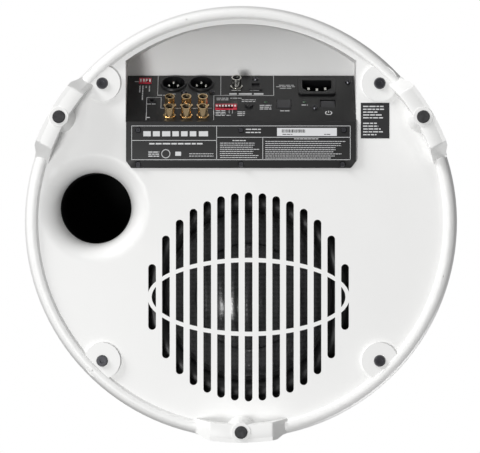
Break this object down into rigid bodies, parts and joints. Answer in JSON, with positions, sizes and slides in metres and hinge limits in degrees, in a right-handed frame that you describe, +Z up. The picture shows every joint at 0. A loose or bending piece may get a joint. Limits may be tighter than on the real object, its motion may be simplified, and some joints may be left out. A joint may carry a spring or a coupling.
{
  "type": "subwoofer",
  "caption": "Round white active subwoofer on three feet; woofer grille, port and slanted amplifier panel face the floor.",
  "frame": {"origin": "on the floor under the body's axis, level with the undersides of the rubber feet", "axes": "+Z up, out of the top of the dome; +Y to the rear, where the cables leave; +X to the side with the port"},
  "size_m": [0.3629, 0.363, 0.251],
  "materials": {
    "shell_paint": "fine satin white powder coat on die-cast aluminium",
    "gasket_foam": "closed-cell foam",
    "foot_rubber": "matt moulded rubber",
    "black_steel": "black oxide, slightly glossy",
    "frame_paint": "black paint",
    "surround_rubber": "satin butyl rubber",
    "woven_cone": "coated woven fibre with a soft gloss",
    "coil_copper": "lacquered copper wire",
    "spider_cloth": "resin-stiffened cloth",
    "zinc_steel": "zinc plate",
    "ferrite": "ground ferrite ceramic",
    "contact_brass": "plated tabs on a board",
    "cable_jacket": "smooth PVC",
    "port_plastic": "matt moulded",
    "panel_paint": "fine matt black powder coat",
    "dark_sticker": "printed film, satin",
    "silver_sticker": "printed film, satin",
    "inlet_plastic": "moulded, slightly glossy",
    "socket_plastic": "moulded",
    "tinned_metal": "bright plate",
    "gold_plate": "gold plate on brass",
    "nickel_plate": "bright nickel plate",
    "shutter_plastic": "moulded",
    "switch_red": "moulded",
    "lever_white": "moulded",
    "pot_plastic": "moulded",
    "knob_plastic": "moulded",
    "button_plastic": "satin moulded",
    "lamp_lens": "diffusing lens, unlit",
    "circuit_board": "solder mask",
    "sink_aluminium": "mill finish",
    "transformer_tape": "polyester tape over ferrite",
    "capacitor_sleeve": "printed sleeve over aluminium"
  },
  "bodies": {
    "enclosure": {"upper_shell": "shell_paint", "base_casting": "shell_paint", "shell_gasket": "gasket_foam", "rubber_feet": "foot_rubber", "enclosure_screws": "black_steel", "woofer_frame": "frame_paint", "woofer_gasket": "gasket_foam", "woofer_screws": "black_steel", "surround": "surround_rubber", "spider": "spider_cloth", "top_plate": "zinc_steel", "magnet": "ferrite", "back_plate": "zinc_steel", "woofer_terminals": "contact_brass", "woofer_cable": "cable_jacket", "port_tube": "port_plastic", "port_end_flare": "port_plastic", "amp_panel": "panel_paint", "amp_gasket": "gasket_foam", "panel_screws": "black_steel", "info_sticker": "dark_sticker", "serial_sticker": "silver_sticker", "mains_inlet": "inlet_plastic", "mains_pins": "tinned_metal", "xlr_sockets": "socket_plastic", "xlr_pins": "tinned_metal", "rca_jacks": "gold_plate", "digital_jack": "nickel_plate", "jack_inserts": "inlet_plastic", "optical_socket": "socket_plastic", "control_jack": "socket_plastic", "channel_switch": "switch_red", "setup_switch": "switch_red", "level_pot": "pot_plastic", "button_switches": "socket_plastic", "status_lights": "lamp_lens", "main_board": "circuit_board", "power_board": "circuit_board", "board_posts": "tinned_metal", "heat_sink": "sink_aluminium", "transformer": "transformer_tape", "filter_capacitors": "capacitor_sleeve"},
    "moving_cone": {"woofer_cone": "woven_cone", "dust_cap": "woven_cone", "voice_coil": "coil_copper"},
    "shutter": {"optical_shutter": "shutter_plastic"},
    "level_control": {"level_knob": "knob_plastic"},
    "select_key": {"select_button": "button_plastic"},
    "power_key": {"power_button": "button_plastic"},
    "lever_body_1": {"lever_1": "lever_white"},
    "lever_body_2": {"lever_2": "lever_white"},
    "lever_body_3": {"lever_3": "lever_white"},
    "lever_body_4": {"lever_4": "lever_white"},
    "lever_body_5": {"lever_5": "lever_white"},
    "lever_body_6": {"lever_6": "lever_white"},
    "lever_body_7": {"lever_7": "lever_white"},
    "lever_body_8": {"lever_8": "lever_white"},
    "lever_body_9": {"lever_9": "lever_white"},
    "lever_body_10": {"lever_10": "lever_white"},
    "lever_body_11": {"lever_11": "lever_white"}
  },
  "joints": [
    {"name": "cone_stroke", "type": "slide", "parent": "enclosure", "child": "moving_cone", "axis": [0, 0, -1], "range_m": [-0.008, 0.008], "stiffness_N_per_m": 1500, "deforming": ["surround", "spider"]},
    {"name": "shutter_swing", "type": "hinge", "parent": "enclosure", "child": "shutter", "pos_m": [-0.0123, 0.11467, 0.0678], "axis": [-1, 0, 0], "range_deg": [0, 80], "stiffness_Nm_per_rad": 0.002},
    {"name": "level_turn", "type": "hinge", "parent": "enclosure", "child": "level_control", "pos_m": [-0.0067, 0.09677, 0.04066], "axis": [0, 0.8192, -0.5736], "range_deg": [-135, 135]},
    {"name": "select_press", "type": "slide", "parent": "enclosure", "child": "select_key", "axis": [0, -0.8192, 0.5736], "range_m": [0, 0.0015], "stiffness_N_per_m": 600},
    {"name": "power_press", "type": "slide", "parent": "enclosure", "child": "power_key", "axis": [0, -0.8192, 0.5736], "range_m": [0, 0.0025], "stiffness_N_per_m": 500},
    {"name": "lever_slide_1", "type": "slide", "parent": "enclosure", "child": "lever_body_1", "axis": [0, -0.5736, -0.8192], "range_m": [0, 0.002]},
    {"name": "lever_slide_2", "type": "slide", "parent": "enclosure", "child": "lever_body_2", "axis": [0, -0.5736, -0.8192], "range_m": [0, 0.002]},
    {"name": "lever_slide_3", "type": "slide", "parent": "enclosure", "child": "lever_body_3", "axis": [0, -0.5736, -0.8192], "range_m": [0, 0.002]},
    {"name": "lever_slide_4", "type": "slide", "parent": "enclosure", "child": "lever_body_4", "axis": [0, -0.5736, -0.8192], "range_m": [0, 0.002]},
    {"name": "lever_slide_5", "type": "slide", "parent": "enclosure", "child": "lever_body_5", "axis": [0, -0.5736, -0.8192], "range_m": [0, 0.002]},
    {"name": "lever_slide_6", "type": "slide", "parent": "enclosure", "child": "lever_body_6", "axis": [0, -0.5736, -0.8192], "range_m": [0, 0.002]},
    {"name": "lever_slide_7", "type": "slide", "parent": "enclosure", "child": "lever_body_7", "axis": [0, -0.5736, -0.8192], "range_m": [0, 0.002]},
    {"name": "lever_slide_8", "type": "slide", "parent": "enclosure", "child": "lever_body_8", "axis": [0, -0.5736, -0.8192], "range_m": [0, 0.002]},
    {"name": "lever_slide_9", "type": "slide", "parent": "enclosure", "child": "lever_body_9", "axis": [0, -0.5736, -0.8192], "range_m": [0, 0.002]},
    {"name": "lever_slide_10", "type": "slide", "parent": "enclosure", "child": "lever_body_10", "axis": [0, -0.5736, -0.8192], "range_m": [0, 0.002]},
    {"name": "lever_slide_11", "type": "slide", "parent": "enclosure", "child": "lever_body_11", "axis": [0, -0.5736, -0.8192], "range_m": [0, 0.002]}
  ]
}
